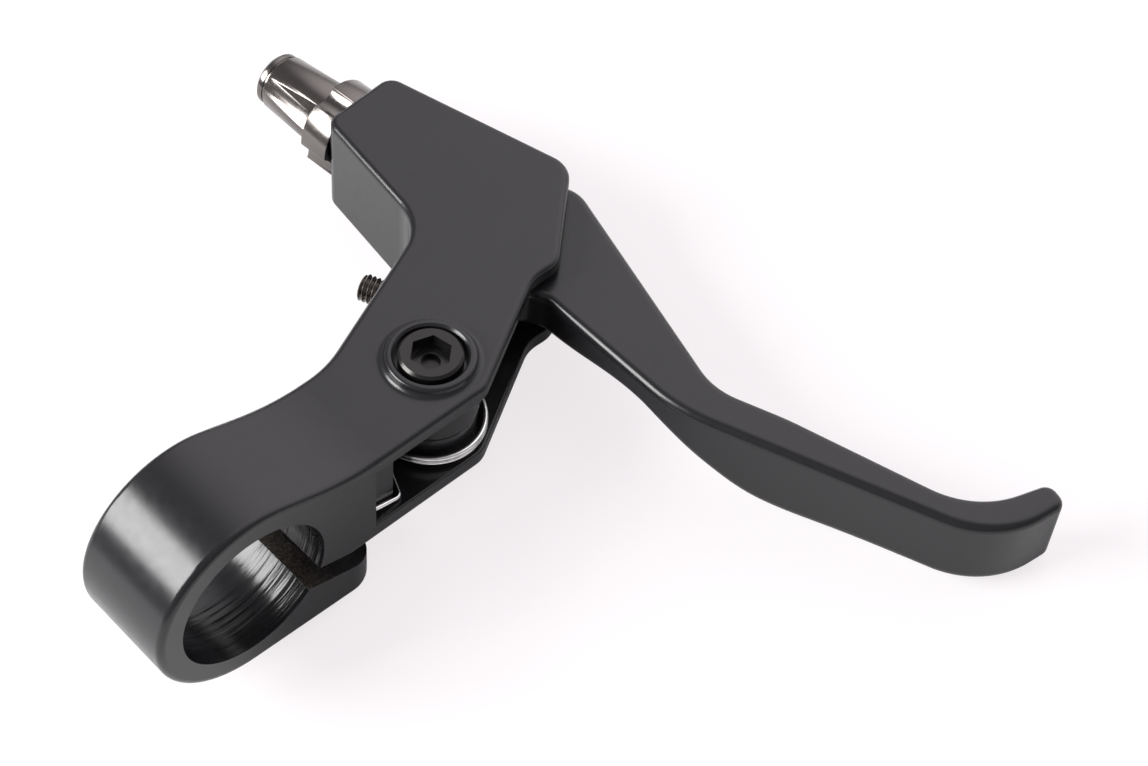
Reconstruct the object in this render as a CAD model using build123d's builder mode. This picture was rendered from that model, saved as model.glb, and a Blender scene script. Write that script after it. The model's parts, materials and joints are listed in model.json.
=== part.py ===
from build123d import *
import os
from math import acos, asin, atan2, cos, degrees, pi, radians, sin, tan

# Bicycle brake lever for the right hand, with a split handlebar band.
# Frame: origin at the centre of the bar bore, +X along the bar towards the grip,
# +Y forward from the bar to the lever, +Z up through the top plate. Sizes in mm.

# Handlebar band
bar_radius = 11.1
clamp_width = 16.0
clamp_wall = 3.5
split_gap = 3.5
split_tilt = 16.0
split_height = -1.15
jaw_reach = 20.4
jaw_corner = 4.5
jaw_slope = 2.5

# Perch plates and lever slot
plate_top = 10.0
plate_bottom = -6.3
slot_top = 7.65
slot_bottom = -3.4
slot_root = 23.9
back_wall = 3.6
slot_corner = 2.0
stem_lead = 0.9622
stem_angle = 72.0
edge_round = 0.95
slot_edge = 0.35

# Plan outline of the plates, as offsets from the pivot
pivot_y = 35.6
front_corner = 2.4
inner_step = (-1.7, 19.5)
step_rise = (0.2, 4.5)
far_corner = (-13.5, 37.4)
elbow = (-18.55, 14.1)
front_round = 4.0
step_round = 6.0
outer_step_round = 4.0
far_round = 4.2
elbow_round = 8.0
waist_round = 16.0

# Cable line and barrel boss
cable_arm = 26.6
cable_tilt = 4.8
cable_height = 1.85
boss_reach = 39.8
boss_width = 12.6
boss_round = 2.4
cable_radius = 1.3

# Pivot
pivot_boss_radius = 6.0
pivot_boss_height = 1.2
pivot_boss_foot = 1.0
pivot_boss_rim = 0.5
pivot_boss_mouth = 0.3
head_radius = 4.3
head_height = 2.3
head_proud = 0.3
head_edge = 0.35
pivot_radius = 3.0
sleeve_wall = 0.9
bush_wall = 0.95
bush_flange = 6.2
bush_split = 3.0
nut_flats = 10.0
nut_height = 3.2
bolt_end = 0.9
hex_flats = 5.0
hex_turn = 12.0
hex_depth = 1.6
hex_drill = 0.3
pilot_radius = 1.3
pilot_depth = 0.7

# Lever plan, as offsets from the pivot, and its heights
lever_top = 6.9
root_bottom = -0.2
hub_radius = 6.5
hub_bottom = -1.0
hub_step = 0.15
root_left = -15.9
root_corner = 33.0
far_heel = (-12.5, 37.5)
far_bend = (25.3, 26.85)
far_shoulder = (35.0, 30.6)
far_curl = (60.5, 38.2)
tip_reach = (3.6, 10.5)
tip_edge = (3.7, -0.9)
curl_width = (5.7, -1.8)
near_bend = (24.7, 20.2)
web_bend = (0.5, 20.2)
web_corner = (-4.6, 18.0)
root_round = 3.0
heel_round = 5.0
bend_far_round = 10.0
shoulder_round = 40.0
curl_far_round = 12.0
tip_round = 1.7
curl_near_round = 13.0
bend_near_round = 25.0
web_bend_round = 2.5
web_round = 3.0
neck_start = 0.0
neck = (11.0, 1.3)
neck_end = (20.0, 1.6)
drop = (27.5, -1.8)
belly = (34.5, -5.0)
finger = (44.0, -5.2)
blade_tip = (70.0, -4.8)
top_round = 1.2
bottom_round = 1.6
nipple_spot = -5.5
nipple_radius = 3.6
nipple_roof = 2.4
nipple_slot = 2.2

# Return spring
wire = 0.75
coil_radius = 7.4
coil_turns = 2.18
coil_pitch = 0.77
hook_reach = 4.2
hook_rise = 1.0
hook_relief = 1.75
hook_pocket = 19.6
hook_bend = 1.0
arm_length = 11.0
arm_bend = 1.0
arm_pin = 2.6
pin_play = 0.25

# Barrel adjuster and lock ring
thread_radius = 5.0
thread_depth = 15.0
boss_depth = 18.0
ring_length = 4.7
ring_radius = 6.6
ring_edge = 0.3
scallops = 4
scallop_radius = 2.5
scallop_depth = 1.04
scallop_turn = 73.0
barrel_length = 10.2
barrel_base = 4.92
barrel_tip = 4.22
rim_radius = 4.05
rim_length = 1.8
rim_neck = 3.9
rim_groove = 0.45
rim_round = 0.5
socket_radius = 2.6
socket_depth = 9.0
flutes = 2
flute_radius = 8.0
flute_depth = 0.2
flute_turn = 32.0

# Reach screw and clamp bolt
reach_radius = 2.0
reach_spot = 7.285
reach_proud = 4.8
reach_hex = 2.0
reach_hex_depth = 2.0
reach_edge = 0.4
clamp_bolt_radius = 2.5
clamp_bolt_spot = 15.7
clamp_thread = 9.0
clamp_floor = 2.5
clamp_head_radius = 4.25
clamp_head_height = 3.5
clamp_head_edge = 0.4
clamp_hex_depth = 2.2

# Fits
running = 0.05
thread_play = 0.05
bolt_play = 0.1
head_play = 0.55
seat_gap = 0.1
coil_gap = 0.233
stop_gap = 0.15
flange_gap = 0.1
root_gap = 1.2

# Tolerance for picking edges by their place
pick = 0.01

os.makedirs("parts", exist_ok=True)

# Places worked out from the sizes above
half_width = clamp_width / 2
clamp_radius = bar_radius + clamp_wall
pivot = Vector(0, pivot_y)
pivot_axis = Axis((0, pivot_y, 0), (0, 0, 1))
sleeve_radius = pivot_radius + running + sleeve_wall
bush_bore = sleeve_radius + running
bush_radius = bush_bore + bush_wall

cable_run = Vector(cos(radians(cable_tilt)), sin(radians(cable_tilt)))
cable_side = Vector(-sin(radians(cable_tilt)), cos(radians(cable_tilt)))
cable_foot = pivot + cable_side * cable_arm
boss_end = cable_foot - cable_run * boss_reach
barrel_plane = Plane(
    origin=(boss_end.X, boss_end.Y, cable_height),
    x_dir=-cable_side,
    z_dir=-cable_run,
)

elbow_point = pivot + Vector(*elbow)
elbow_line = pivot - elbow_point
wall_reach = coil_radius + wire / 2 + coil_gap + back_wall
wall_aim = atan2(elbow_line.Y, elbow_line.X) - asin(wall_reach / elbow_line.length)
wall_run = -Vector(cos(wall_aim), sin(wall_aim))
wall_in = Vector(wall_run.Y, -wall_run.X)
waist_point = elbow_point - wall_run * ((elbow_point.X + half_width) / wall_run.X)
waist_bend = waist_round * tan(atan2(-wall_run.X, wall_run.Y) / 2)
stem_end = waist_point.Y - waist_bend - stem_lead
stop_reach = wall_reach - hub_radius - stop_gap
lever_back = pivot - wall_in * hub_radius
reach_entry = elbow_point - wall_run * reach_spot
reach_plane = Plane(
    origin=(reach_entry.X, reach_entry.Y, (slot_top + slot_bottom) / 2),
    x_dir=wall_run,
    z_dir=-wall_in,
)

split_plane = Plane(
    origin=(0, 0, split_height),
    x_dir=(0, cos(radians(split_tilt)), -sin(radians(split_tilt))),
    z_dir=(1, 0, 0),
)
bolt_spot = split_plane.from_local_coords((clamp_bolt_spot, -split_gap / 2))
clamp_bolt_plane = Plane(origin=bolt_spot, x_dir=(1, 0, 0), z_dir=-split_plane.y_dir)
clamp_seat = split_gap / 2 + clamp_floor

head_seat = plate_top + pivot_boss_height + head_proud - head_height
slot_left = root_left - root_gap
nipple = cable_foot + cable_run * nipple_spot
nipple_plane = Plane(origin=(nipple.X, nipple.Y, cable_height), x_dir=-cable_side, z_dir=-cable_run)

coil_floor = slot_bottom + wire / 2 + seat_gap / 2
hook_x = half_width - hook_relief + wire / 2 + seat_gap / 2
hook_y = slot_root + wire
hook_aim = atan2(hook_y - pivot_y, hook_x)
coil_turn = degrees(hook_aim - acos(coil_radius / (Vector(hook_x, hook_y) - pivot).length))
coil_start = pivot + Vector(cos(radians(coil_turn)), sin(radians(coil_turn))) * coil_radius
leg_length = (Vector(hook_x, hook_y) - coil_start).length
coil_base = coil_floor + leg_length * coil_pitch / (2 * pi * coil_radius)
arm_height = coil_base + coil_pitch * coil_turns
arm_turn = radians(coil_turn - 360 * coil_turns)
arm_start = pivot + Vector(cos(arm_turn), sin(arm_turn)) * coil_radius
pin_spot = arm_start + Vector(sin(arm_turn), -cos(arm_turn)) * arm_length

ring_seat = 2 * seat_gap + ring_length
barrel_end = ring_seat + barrel_length + rim_length
flute_place = barrel_tip - flute_depth + flute_radius
scallop_place = ring_radius - scallop_depth + scallop_radius


def plan(offset):
    """Return the plan point at an offset from the pivot."""
    return (pivot.X + offset[0], pivot.Y + offset[1])


# Perch body: split band, stem, plates and barrel boss in one forging
with BuildPart() as perch:
    # Band and lower jaw, rounded in plan at the jaw's end
    with BuildSketch(Plane.YZ):
        Circle(clamp_radius)
        with BuildLine():
            jaw_angle = radians(-90 - jaw_slope)
            jaw_start = (clamp_radius * cos(jaw_angle), clamp_radius * sin(jaw_angle))
            jaw_drop = (jaw_reach - jaw_start[0]) * tan(radians(jaw_slope))
            split_drop = jaw_reach * tan(radians(split_tilt))
            Polyline(
                (0, 0),
                jaw_start,
                (jaw_reach, jaw_start[1] - jaw_drop),
                (jaw_reach, split_height - split_drop - split_gap / 2),
                (0, split_height - split_gap / 2),
                close=True,
            )
        make_face()
    extrude(amount=half_width, both=True)
    with BuildSketch(Plane.XY.offset(-clamp_radius - jaw_reach)):
        with BuildLine():
            FilletPolyline(
                (-half_width, -clamp_radius),
                (-half_width, jaw_reach),
                (half_width, jaw_reach),
                (half_width, -clamp_radius),
                radius=jaw_corner,
            )
            Line((half_width, -clamp_radius), (-half_width, -clamp_radius))
        make_face()
    extrude(amount=2 * (clamp_radius + jaw_reach), mode=Mode.INTERSECT)

    # Stem, whose top sweeps from the band down to the top plate
    with BuildSketch(Plane.YZ):
        with BuildLine():
            turn = radians(stem_angle)
            stem_start = (clamp_radius * cos(turn), clamp_radius * sin(turn))
            mouth = (split_height - plate_bottom) / tan(radians(split_tilt))
            crown = Spline(
                stem_start,
                (stem_end, plate_top),
                tangents=[(sin(turn), -cos(turn)), (1, 0)],
            )
            Polyline(
                crown @ 1,
                (stem_end, plate_bottom),
                (mouth, plate_bottom),
                (0, split_height),
                crown @ 0,
            )
        make_face()
    extrude(amount=half_width, both=True)

    # Plates and barrel boss, still solid
    with BuildSketch(Plane.XY.offset(plate_bottom)):
        with BuildLine():
            slab_start = (mouth + stem_end) / 2
            boss_near = boss_end - cable_side * (boss_width / 2)
            boss_far = boss_end + cable_side * (boss_width / 2)
            outline = FilletPolyline(
                (half_width, slab_start),
                (half_width, pivot_y + front_corner),
                plan(inner_step),
                plan((inner_step[0] + step_rise[0], inner_step[1] + step_rise[1])),
                plan(far_corner),
                boss_far,
                boss_near,
                elbow_point,
                waist_point,
                (-half_width, slab_start),
                radius=[
                    front_round,
                    step_round,
                    outer_step_round,
                    far_round,
                    boss_round,
                    boss_round,
                    elbow_round,
                    waist_round,
                ],
            )
            Line(outline @ 1, outline @ 0)
        make_face()
    extrude(amount=plate_top - plate_bottom)

    # Split of the band, then the rounded outer edges
    with BuildSketch(split_plane):
        with Locations((0, -split_gap / 2)):
            Rectangle(2 * jaw_reach, split_gap, align=(Align.MIN, Align.CENTER))
    extrude(amount=clamp_width, both=True, mode=Mode.SUBTRACT)
    upper = perch.edges().filter_by(lambda e: e.bounding_box().min.Z > plate_top - pick)
    lower = perch.edges().filter_by(lambda e: e.bounding_box().max.Z < jaw_start[1] + pick)
    band = perch.edges().filter_by(GeomType.CIRCLE).filter_by(
        lambda e: abs(e.radius - clamp_radius) < pick and abs(e.center().X) > half_width - pick
    )
    fillet(upper + lower + band, radius=edge_round)
    under = perch.edges().filter_by(
        lambda e: e.bounding_box().min.Z > plate_bottom - pick
        and e.bounding_box().max.Z < plate_bottom + pick
        and e.center().Y > mouth + pick
    )
    fillet(under, radius=edge_round)

    # Bar bore
    with BuildSketch(Plane.YZ):
        Circle(bar_radius)
    extrude(amount=clamp_width, both=True, mode=Mode.SUBTRACT)

    # Lever slot between the plates, with a relief for the spring's hook
    with BuildSketch(Plane.XY.offset(slot_bottom)):
        with BuildLine():
            relief = half_width - hook_relief
            inner_wall = waist_point + wall_in * back_wall
            root_x = inner_wall.X + wall_run.X * (slot_root - inner_wall.Y) / wall_run.Y
            side_y = inner_wall.Y + wall_run.Y * (slot_left - inner_wall.X) / wall_run.X
            open_x = 2 * clamp_width
            open_y = 2 * boss_end.Y
            slot_line = FilletPolyline(
                (relief, slot_root),
                (root_x, slot_root),
                (slot_left, side_y),
                (slot_left, open_y),
                radius=slot_corner,
            )
            Polyline(
                slot_line @ 1,
                (open_x, open_y),
                (open_x, hook_pocket),
                (relief, hook_pocket),
                slot_line @ 0,
            )
        make_face()
    extrude(amount=slot_top - slot_bottom, mode=Mode.SUBTRACT)
    mouth_faces = perch.faces(Select.LAST).filter_by(Plane.XY)
    mouth_edges = mouth_faces.edges().filter_by(
        lambda e: not e.is_interior and e.center().Y > slot_root + pick
    )
    fillet(mouth_edges, radius=slot_edge)

    # Round boss over the pivot, its counterbore and the bolt holes
    with BuildSketch(Plane.XY.offset(plate_top)):
        with Locations(pivot):
            Circle(pivot_boss_radius)
    extrude(amount=pivot_boss_height)
    boss_edges = perch.edges(Select.LAST).filter_by(GeomType.CIRCLE)
    fillet(boss_edges.sort_by(Axis.Z)[0], radius=pivot_boss_foot)
    fillet(boss_edges.sort_by(Axis.Z)[-1], radius=pivot_boss_rim)
    with BuildSketch(Plane.XY.offset(head_seat)):
        with Locations(pivot):
            Circle(head_radius + head_play)
    extrude(amount=plate_top, mode=Mode.SUBTRACT)
    bore_edges = perch.edges(Select.LAST).filter_by(GeomType.CIRCLE)
    chamfer(bore_edges.sort_by(Axis.Z)[-1], length=pivot_boss_mouth)
    with BuildSketch(Plane.XY):
        with Locations(pivot):
            Circle(pivot_radius + bolt_play)
    extrude(amount=2 * plate_top, both=True, mode=Mode.SUBTRACT)

    # Threaded barrel hole and the cable's way into the slot
    with BuildSketch(barrel_plane):
        Circle(thread_radius + thread_play)
    extrude(amount=-boss_depth, mode=Mode.SUBTRACT)
    with BuildSketch(barrel_plane):
        Circle(cable_radius)
    extrude(amount=-boss_reach, mode=Mode.SUBTRACT)

    # Reach screw hole through the back wall
    with BuildSketch(reach_plane):
        Circle(reach_radius + thread_play)
    extrude(amount=-2 * back_wall, mode=Mode.SUBTRACT)

    # Clamp bolt: thread above the split, clearance hole and head seat in the jaw
    with BuildSketch(clamp_bolt_plane):
        Circle(clamp_bolt_radius + thread_play)
    extrude(amount=-clamp_thread - split_gap, mode=Mode.SUBTRACT)
    with BuildSketch(clamp_bolt_plane):
        Circle(clamp_bolt_radius + thread_play + bolt_play)
    extrude(amount=clamp_radius, mode=Mode.SUBTRACT)
    with BuildSketch(clamp_bolt_plane.offset(clamp_seat)):
        Circle(clamp_head_radius + head_play / 2)
    extrude(amount=clamp_radius, mode=Mode.SUBTRACT)
perch.part.label = "perch_body"
export_step(perch.part, "parts/perch_body.step")

# Lever blade: plan outline cut to a side profile, so its depth changes along the bend
with BuildPart() as lever:
    with BuildSketch(Plane.XY.offset(-clamp_radius)):
        with BuildLine():
            back_y = lever_back.Y + wall_run.Y * (root_left - lever_back.X) / wall_run.X
            curl = pivot + Vector(*far_curl)
            tip = curl + Vector(*tip_reach)
            web = pivot + Vector(*web_corner)
            web_aim = atan2(web.Y - pivot.Y, web.X - pivot.X)
            web_aim = web_aim - acos(hub_radius / (web - pivot).length)
            web_end = pivot + Vector(cos(web_aim), sin(web_aim)) * hub_radius
            blade_line = FilletPolyline(
                lever_back,
                (root_left, back_y),
                (root_left, pivot_y + root_corner),
                plan(far_heel),
                plan(far_bend),
                plan(far_shoulder),
                curl,
                tip,
                tip + Vector(*tip_edge),
                curl + Vector(*curl_width),
                plan(near_bend),
                plan(web_bend),
                web,
                web_end,
                radius=[
                    root_round,
                    root_round,
                    heel_round,
                    bend_far_round,
                    shoulder_round,
                    curl_far_round,
                    tip_round,
                    tip_round,
                    curl_near_round,
                    bend_near_round,
                    web_bend_round,
                    web_round,
                ],
            )
            Polyline(blade_line @ 1, pivot, blade_line @ 0)
        make_face()
        with Locations(pivot):
            Circle(hub_radius)
    extrude(amount=clamp_radius + lever_top)
    with BuildSketch(Plane.XZ):
        with BuildLine():
            belly_line = Spline(
                (neck_start, root_bottom),
                neck,
                neck_end,
                drop,
                belly,
                finger,
                blade_tip,
                tangents=[(1, 0), (blade_tip[0] - finger[0], blade_tip[1] - finger[1])],
            )
            Polyline(
                belly_line @ 1,
                (blade_tip[0], plate_top),
                (-blade_tip[0], plate_top),
                (-blade_tip[0], root_bottom),
                belly_line @ 0,
            )
        make_face()
    extrude(amount=4 * pivot_y, both=True, mode=Mode.INTERSECT)
    rim_edges = lever.edges().filter_by(lambda e: e.bounding_box().min.Z > lever_top - pick)
    fillet(rim_edges, radius=top_round)
    under_faces = lever.faces().filter_by(lambda f: f.normal_at(None).Z < -0.5)
    under_edges = under_faces.edges().filter_by(
        lambda e: abs(e.center().X - neck_start) > pick
    )
    fillet(under_edges, radius=bottom_round)

    # Hub, bored for its two bushes
    with BuildSketch(Plane.XY.offset(hub_bottom)):
        with Locations(pivot):
            Circle(hub_radius - hub_step)
    extrude(amount=bush_split - hub_bottom)
    with BuildSketch(Plane.XY):
        with Locations(pivot):
            Circle(bush_radius)
    extrude(amount=2 * plate_top, both=True, mode=Mode.SUBTRACT)

    # Cable nipple pocket, its slot towards the barrel, and the spring's pin hole
    with BuildSketch(Plane.XY.offset(lever_top - nipple_roof)):
        with Locations(nipple):
            Circle(nipple_radius)
    extrude(amount=-2 * plate_top, mode=Mode.SUBTRACT)
    with BuildSketch(nipple_plane):
        with Locations((0, nipple_slot / 2)):
            Rectangle(nipple_slot, 2 * plate_top, align=(Align.CENTER, Align.MAX))
    extrude(amount=2 * hub_radius, mode=Mode.SUBTRACT)
    with BuildSketch(Plane.XY.offset(arm_height + arm_pin + pin_play)):
        with Locations(pin_spot):
            Circle(wire / 2 + pin_play)
    extrude(amount=-2 * plate_top, mode=Mode.SUBTRACT)
lever.part.label = "lever_blade"
export_step(lever.part, "parts/lever_blade.step")

# Bushes: plain tubes with a flange, pressed into the hub from both sides
with BuildPart() as upper_bush:
    with BuildSketch(Plane.XZ.offset(-pivot_y)):
        Polygon(
            (bush_bore, bush_split),
            (bush_radius, bush_split),
            (bush_radius, lever_top),
            (bush_flange, lever_top),
            (bush_flange, slot_top - flange_gap),
            (bush_bore, slot_top - flange_gap),
            align=None,
        )
    revolve(axis=pivot_axis)
upper_bush.part.label = "upper_bush"
export_step(upper_bush.part, "parts/upper_bush.step")

with BuildPart() as lower_bush:
    with BuildSketch(Plane.XZ.offset(-pivot_y)):
        Polygon(
            (bush_bore, bush_split - seat_gap),
            (bush_radius, bush_split - seat_gap),
            (bush_radius, hub_bottom),
            (bush_flange, hub_bottom),
            (bush_flange, slot_bottom + flange_gap),
            (bush_bore, slot_bottom + flange_gap),
            align=None,
        )
    revolve(axis=pivot_axis)
lower_bush.part.label = "lower_bush"
export_step(lower_bush.part, "parts/lower_bush.step")

# Pivot sleeve, clamped between the plates
with BuildPart() as sleeve:
    with BuildSketch(Plane.XY.offset(slot_bottom)):
        with Locations(pivot):
            Circle(sleeve_radius)
            Circle(pivot_radius + running, mode=Mode.SUBTRACT)
    extrude(amount=slot_top - slot_bottom)
sleeve.part.label = "pivot_sleeve"
export_step(sleeve.part, "parts/pivot_sleeve.step")

# Pivot bolt with a hexagon socket
with BuildPart() as pivot_bolt:
    with BuildSketch(Plane.XY.offset(head_seat)):
        with Locations(pivot):
            Circle(head_radius)
    extrude(amount=head_height)
    chamfer(pivot_bolt.edges().group_by(Axis.Z)[-1], length=head_edge)
    with BuildSketch(Plane.XY.offset(plate_bottom - nut_height - bolt_end)):
        with Locations(pivot):
            Circle(pivot_radius)
    extrude(amount=head_seat - plate_bottom + nut_height + bolt_end)
    chamfer(pivot_bolt.edges().group_by(Axis.Z)[0], length=head_edge)
    with BuildSketch(Plane.XY.offset(head_seat + head_height)):
        with Locations(pivot):
            RegularPolygon(hex_flats / 2, 6, major_radius=False, rotation=hex_turn)
    extrude(amount=-hex_depth, mode=Mode.SUBTRACT)
    with BuildSketch(Plane.XY.offset(head_seat + head_height - hex_depth)):
        with Locations(pivot):
            Circle(hex_flats / 2)
    extrude(amount=-hex_drill, mode=Mode.SUBTRACT)
    with BuildSketch(Plane.XY.offset(head_seat + head_height - hex_depth - hex_drill)):
        with Locations(pivot):
            Circle(pilot_radius)
    extrude(amount=-pilot_depth, mode=Mode.SUBTRACT)
pivot_bolt.part.label = "pivot_bolt"
export_step(pivot_bolt.part, "parts/pivot_bolt.step")

# Thin nut under the lower plate
with BuildPart() as pivot_nut:
    with BuildSketch(Plane.XY.offset(plate_bottom)):
        with Locations(pivot):
            RegularPolygon(nut_flats / 2, 6, major_radius=False)
            Circle(pivot_radius + running, mode=Mode.SUBTRACT)
    extrude(amount=-nut_height)
pivot_nut.part.label = "pivot_nut"
export_step(pivot_nut.part, "parts/pivot_nut.step")

# Return spring: hook, tangent leg, close coils on the slot floor and the lever's pin
coil = Helix(coil_pitch, coil_pitch * coil_turns, coil_radius, lefthand=True)
coil = Pos(pivot.X, pivot.Y, coil_base) * Rot(0, 0, coil_turn) * coil
with BuildPart() as spring:
    with BuildLine() as spring_line:
        bend = coil @ 0 - (coil % 0) * leg_length
        pin_bend = coil @ 1 + (coil % 1) * arm_length
        hook = FilletPolyline(
            bend + Vector(0, -hook_reach, hook_rise),
            bend,
            coil @ 0,
            radius=hook_bend,
        )
        add(coil)
        FilletPolyline(
            coil @ 1,
            pin_bend,
            pin_bend + Vector(0, 0, arm_pin),
            radius=arm_bend,
        )
    with BuildSketch(Plane(origin=hook @ 0, z_dir=hook % 0)):
        Circle(wire / 2)
    sweep(path=spring_line.wires()[0])
spring.part.label = "return_spring"
export_step(spring.part, "parts/return_spring.step")

# Barrel adjuster: threaded stem, fluted cone and rim, bored for the cable housing
with BuildPart() as barrel:
    with BuildSketch(Plane.XZ):
        with BuildLine():
            Polyline(
                (0, -thread_depth),
                (thread_radius, -thread_depth),
                (thread_radius, ring_seat),
                (barrel_base, ring_seat),
                (barrel_tip, ring_seat + barrel_length),
                (rim_neck, ring_seat + barrel_length),
                (rim_neck, ring_seat + barrel_length + rim_groove),
                (rim_radius, ring_seat + barrel_length + rim_groove),
                (rim_radius, barrel_end),
                (0, barrel_end),
                close=True,
            )
        make_face()
    revolve(axis=Axis.Z)
    fillet(barrel.edges().group_by(Axis.Z)[-1], radius=rim_round)
    with BuildSketch(Plane.XY.offset(ring_seat)):
        with PolarLocations(flute_place, flutes, start_angle=flute_turn):
            Circle(flute_radius)
    extrude(amount=barrel_length, mode=Mode.SUBTRACT)
    with BuildSketch(Plane.XY.offset(barrel_end)):
        Circle(socket_radius)
    extrude(amount=-socket_depth, mode=Mode.SUBTRACT)
    with BuildSketch(Plane.XY.offset(barrel_end)):
        Circle(cable_radius)
    extrude(amount=-barrel_end - thread_depth, mode=Mode.SUBTRACT)
adjuster = barrel_plane.location * barrel.part
adjuster.label = "barrel_adjuster"
export_step(adjuster, "parts/barrel_adjuster.step")

# Scalloped lock ring on the barrel's thread
with BuildPart() as ring:
    with BuildSketch(Plane.XY.offset(seat_gap)):
        Circle(ring_radius)
        with PolarLocations(scallop_place, scallops, start_angle=scallop_turn):
            Circle(scallop_radius, mode=Mode.SUBTRACT)
    extrude(amount=ring_length)
    chamfer(ring.edges().group_by(Axis.Z)[0], length=ring_edge)
    chamfer(ring.edges().group_by(Axis.Z)[-1], length=ring_edge)
    with BuildSketch(Plane.XY):
        Circle(thread_radius + thread_play)
    extrude(amount=2 * ring_length, mode=Mode.SUBTRACT)
lock_ring = barrel_plane.location * ring.part
lock_ring.label = "barrel_lock_ring"
export_step(lock_ring, "parts/barrel_lock_ring.step")

# Reach screw, whose tip is the lever's rest stop
with BuildPart() as reach:
    with BuildSketch(reach_plane.offset(reach_proud)):
        Circle(reach_radius)
    extrude(amount=-reach_proud - stop_reach)
    chamfer(reach.edges().filter_by(GeomType.CIRCLE), length=reach_edge)
    with BuildSketch(reach_plane.offset(reach_proud)):
        RegularPolygon(reach_hex / 2, 6, major_radius=False)
    extrude(amount=-reach_hex_depth, mode=Mode.SUBTRACT)
reach.part.label = "reach_screw"
export_step(reach.part, "parts/reach_screw.step")

# Clamp bolt, entered from below into the stem
with BuildPart() as clamp_bolt:
    with BuildSketch(clamp_bolt_plane.offset(clamp_seat)):
        Circle(clamp_head_radius)
    extrude(amount=clamp_head_height)
    chamfer(clamp_bolt.edges().sort_by(Axis.Z)[0], length=clamp_head_edge)
    with BuildSketch(clamp_bolt_plane.offset(clamp_seat)):
        Circle(clamp_bolt_radius)
    extrude(amount=-clamp_seat - split_gap / 2 - clamp_thread)
    with BuildSketch(clamp_bolt_plane.offset(clamp_seat + clamp_head_height)):
        RegularPolygon(hex_flats / 2, 6, major_radius=False)
    extrude(amount=-clamp_hex_depth, mode=Mode.SUBTRACT)
clamp_bolt.part.label = "clamp_bolt"
export_step(clamp_bolt.part, "parts/clamp_bolt.step")
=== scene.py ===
import json
import logging
import math
from dataclasses import dataclass
from enum import Enum
from typing import Any, Callable

import bmesh
import bpy
from mathutils import Matrix, Vector

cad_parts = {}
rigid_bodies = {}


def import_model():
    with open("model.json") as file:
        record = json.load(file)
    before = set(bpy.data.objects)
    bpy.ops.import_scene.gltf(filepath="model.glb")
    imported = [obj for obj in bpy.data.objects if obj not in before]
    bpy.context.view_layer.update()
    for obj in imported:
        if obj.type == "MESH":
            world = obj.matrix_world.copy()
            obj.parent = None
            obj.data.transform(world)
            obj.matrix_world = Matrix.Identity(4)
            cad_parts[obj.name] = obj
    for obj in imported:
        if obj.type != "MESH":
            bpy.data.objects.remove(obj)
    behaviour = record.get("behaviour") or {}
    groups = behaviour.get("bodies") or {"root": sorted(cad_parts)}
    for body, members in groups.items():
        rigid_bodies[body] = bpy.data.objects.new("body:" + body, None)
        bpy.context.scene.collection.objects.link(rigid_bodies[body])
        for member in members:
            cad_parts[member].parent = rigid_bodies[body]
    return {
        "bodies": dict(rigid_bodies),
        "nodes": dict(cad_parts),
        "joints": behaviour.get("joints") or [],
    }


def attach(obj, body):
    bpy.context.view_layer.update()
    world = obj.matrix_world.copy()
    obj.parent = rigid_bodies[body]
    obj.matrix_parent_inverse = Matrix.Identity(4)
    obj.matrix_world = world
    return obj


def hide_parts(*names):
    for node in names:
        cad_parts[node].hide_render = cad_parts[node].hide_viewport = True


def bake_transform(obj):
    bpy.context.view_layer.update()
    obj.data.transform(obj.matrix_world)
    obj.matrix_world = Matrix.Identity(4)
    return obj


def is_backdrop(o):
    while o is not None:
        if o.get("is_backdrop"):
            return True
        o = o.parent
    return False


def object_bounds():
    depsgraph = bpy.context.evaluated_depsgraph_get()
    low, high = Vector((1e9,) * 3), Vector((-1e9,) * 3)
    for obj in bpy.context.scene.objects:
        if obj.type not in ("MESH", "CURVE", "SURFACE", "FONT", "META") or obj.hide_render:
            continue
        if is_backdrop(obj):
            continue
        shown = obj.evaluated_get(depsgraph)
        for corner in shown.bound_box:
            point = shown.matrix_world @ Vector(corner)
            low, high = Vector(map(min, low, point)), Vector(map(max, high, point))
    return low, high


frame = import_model()

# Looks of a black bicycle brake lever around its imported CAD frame. Lengths are metres:
# origin at the centre of the bar bore, +X along the bar, +Y to the lever, +Z up.

LOG = logging.getLogger("brake_lever")
SMOOTH_ANGLE = math.radians(32)
WELD_DISTANCE = 1.0e-7
NOISE_ENDS = (0.3, 0.7)
UP = Vector((0, 0, 1))

Colour = tuple[float, float, float]
Place = tuple[float, float, float]


class Body(Enum):
    """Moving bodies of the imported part."""

    PERCH = "perch"
    LEVER = "lever"
    BARREL = "barrel"
    LOCK_RING = "lock_ring"
    REACH_SCREW = "reach_screw"


class Slot(Enum):
    """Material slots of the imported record."""

    BLACK_ALUMINIUM = "black_aluminium"
    BLACK_STEEL = "black_steel"
    BRIGHT_STEEL = "bright_steel"
    BLACK_POLYMER = "black_polymer"
    BLACK_NICKEL = "black_nickel"


class Cut(Enum):
    """What a boolean modifier leaves of a workpiece."""

    AWAY = "DIFFERENCE"
    SHARED = "INTERSECT"


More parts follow.
